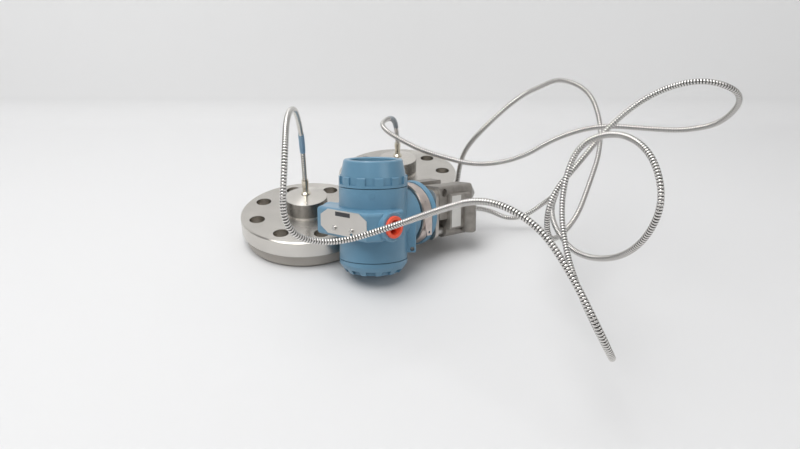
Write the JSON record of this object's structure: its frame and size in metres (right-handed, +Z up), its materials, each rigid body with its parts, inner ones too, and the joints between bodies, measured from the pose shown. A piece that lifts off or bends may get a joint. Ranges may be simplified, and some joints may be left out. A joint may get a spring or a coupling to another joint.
{
  "type": "differential pressure transmitter with remote seals",
  "caption": "Differential pressure transmitter with a two-compartment housing and two flanged diaphragm seals on long armoured capillaries, laid out on a bench.",
  "frame": {"origin": "on the bench surface, under the middle of the bounding box of the rigid pieces (the two capillaries are left out)", "axes": "+Z up, square to the seals' flanges, which lie flat; +X to the right and +Y away from someone who faces the name plate's side"},
  "size_m": [0.5373, 0.5687, 0.2485],
  "materials": {
    "stainless": "satin, turned",
    "guard_grey": "moulded, matt",
    "housing_blue": "smooth semi-gloss paint",
    "glass": "clear",
    "black_rubber": "matt",
    "board_white": "moulded",
    "lcd": "smooth",
    "potting_black": "moulded",
    "screw_steel": "bright",
    "plate_steel": "satin sheet",
    "button_white": "moulded",
    "plug_orange": "moulded",
    "band_steel": "heat-stained sheet",
    "flange_cast": "cast, blasted",
    "label_pale": "blank sticker",
    "hose_armour": "bright interlocked strip",
    "fitting_pale": "pale turned"
  },
  "bodies": {
    "base": {"seal_flange_1": "stainless", "seal_flange_2": "stainless", "seal_diaphragm_1": "stainless", "seal_diaphragm_2": "stainless", "seal_guard_1": "guard_grey", "seal_guard_2": "guard_grey", "capillary_fitting_1": "fitting_pale", "capillary_fitting_2": "fitting_pale", "hose_1": "hose_armour", "hose_2": "hose_armour", "capillary_connector_1": "screw_steel", "capillary_connector_2": "screw_steel", "sensor_module": "stainless", "module_collar": "housing_blue", "tag_band": "band_steel", "isolating_diaphragms": "stainless", "process_flange": "flange_cast", "flange_bolts": "screw_steel", "vent_plug_1": "screw_steel", "vent_plug_2": "screw_steel", "process_orings": "black_rubber", "flange_label": "label_pale"},
    "housing_body": {"housing": "housing_blue", "blind_plug": "screw_steel", "display_module": "board_white", "display_panel": "lcd", "electronics_module": "potting_black", "terminal_block": "potting_black", "terminal_screws": "screw_steel", "plate_screws": "screw_steel", "swivel_set_screw": "screw_steel"},
    "display_ring": {"display_cover_oring": "black_rubber"},
    "display_cover_body": {"display_cover": "housing_blue", "window_glass": "glass", "window_gasket": "black_rubber", "window_retainer": "screw_steel"},
    "terminal_ring": {"terminal_cover_oring": "black_rubber"},
    "terminal_cover_body": {"terminal_cover": "housing_blue"},
    "entry_plug": {"conduit_plug": "plug_orange"},
    "plate": {"name_plate": "plate_steel"},
    "zero": {"zero_button": "button_white"},
    "span": {"span_button": "button_white"}
  },
  "joints": [
    {"name": "housing_swivel", "type": "hinge", "parent": "base", "child": "housing_body", "pos_m": [0.02315, -0.10899, 0.06697], "axis": [0.7071, 0.6706, -0.2244], "range_deg": [-5, 2]},
    {"name": "display_cover_lift", "type": "slide", "parent": "housing_body", "child": "display_ring", "axis": [0, 0.3173, 0.9483], "range_m": [0, 0.009]},
    {"name": "display_cover_turn", "type": "hinge", "parent": "display_ring", "child": "display_cover_body", "pos_m": [0.02315, -0.09312, 0.11439], "axis": [0, 0.3173, 0.9483], "range_deg": [0, 2160]},
    {"name": "terminal_cover_lift", "type": "slide", "parent": "housing_body", "child": "terminal_ring", "axis": [0, -0.3173, -0.9483], "range_m": [0, 0.009]},
    {"name": "terminal_cover_turn", "type": "hinge", "parent": "terminal_ring", "child": "terminal_cover_body", "pos_m": [0.02315, -0.12486, 0.01955], "axis": [0, -0.3173, -0.9483], "range_deg": [0, 2160]},
    {"name": "conduit_plug_pull", "type": "slide", "parent": "housing_body", "child": "entry_plug", "axis": [0.7071, -0.6706, 0.2244], "range_m": [0, 0.018]},
    {"name": "name_plate_swing", "type": "hinge", "parent": "housing_body", "child": "plate", "pos_m": [-0.01878, -0.13669, 0.07044], "axis": [-0.7071, -0.6706, 0.2244], "range_deg": [0, 90]},
    {"name": "zero_press", "type": "slide", "parent": "housing_body", "child": "zero", "axis": [0.7071, 0.6706, -0.2244], "range_m": [0, 0.0015], "stiffness_N_per_m": 300, "springref_m": -0.002},
    {"name": "span_press", "type": "slide", "parent": "housing_body", "child": "span", "axis": [0.7071, 0.6706, -0.2244], "range_m": [0, 0.0015], "stiffness_N_per_m": 300, "springref_m": -0.002}
  ],
  "couplings": [
    {"joint": "display_cover_lift", "follows": "display_cover_turn", "m_per_rad": 0.00023873},
    {"joint": "terminal_cover_lift", "follows": "terminal_cover_turn", "m_per_rad": 0.00023873}
  ]
}
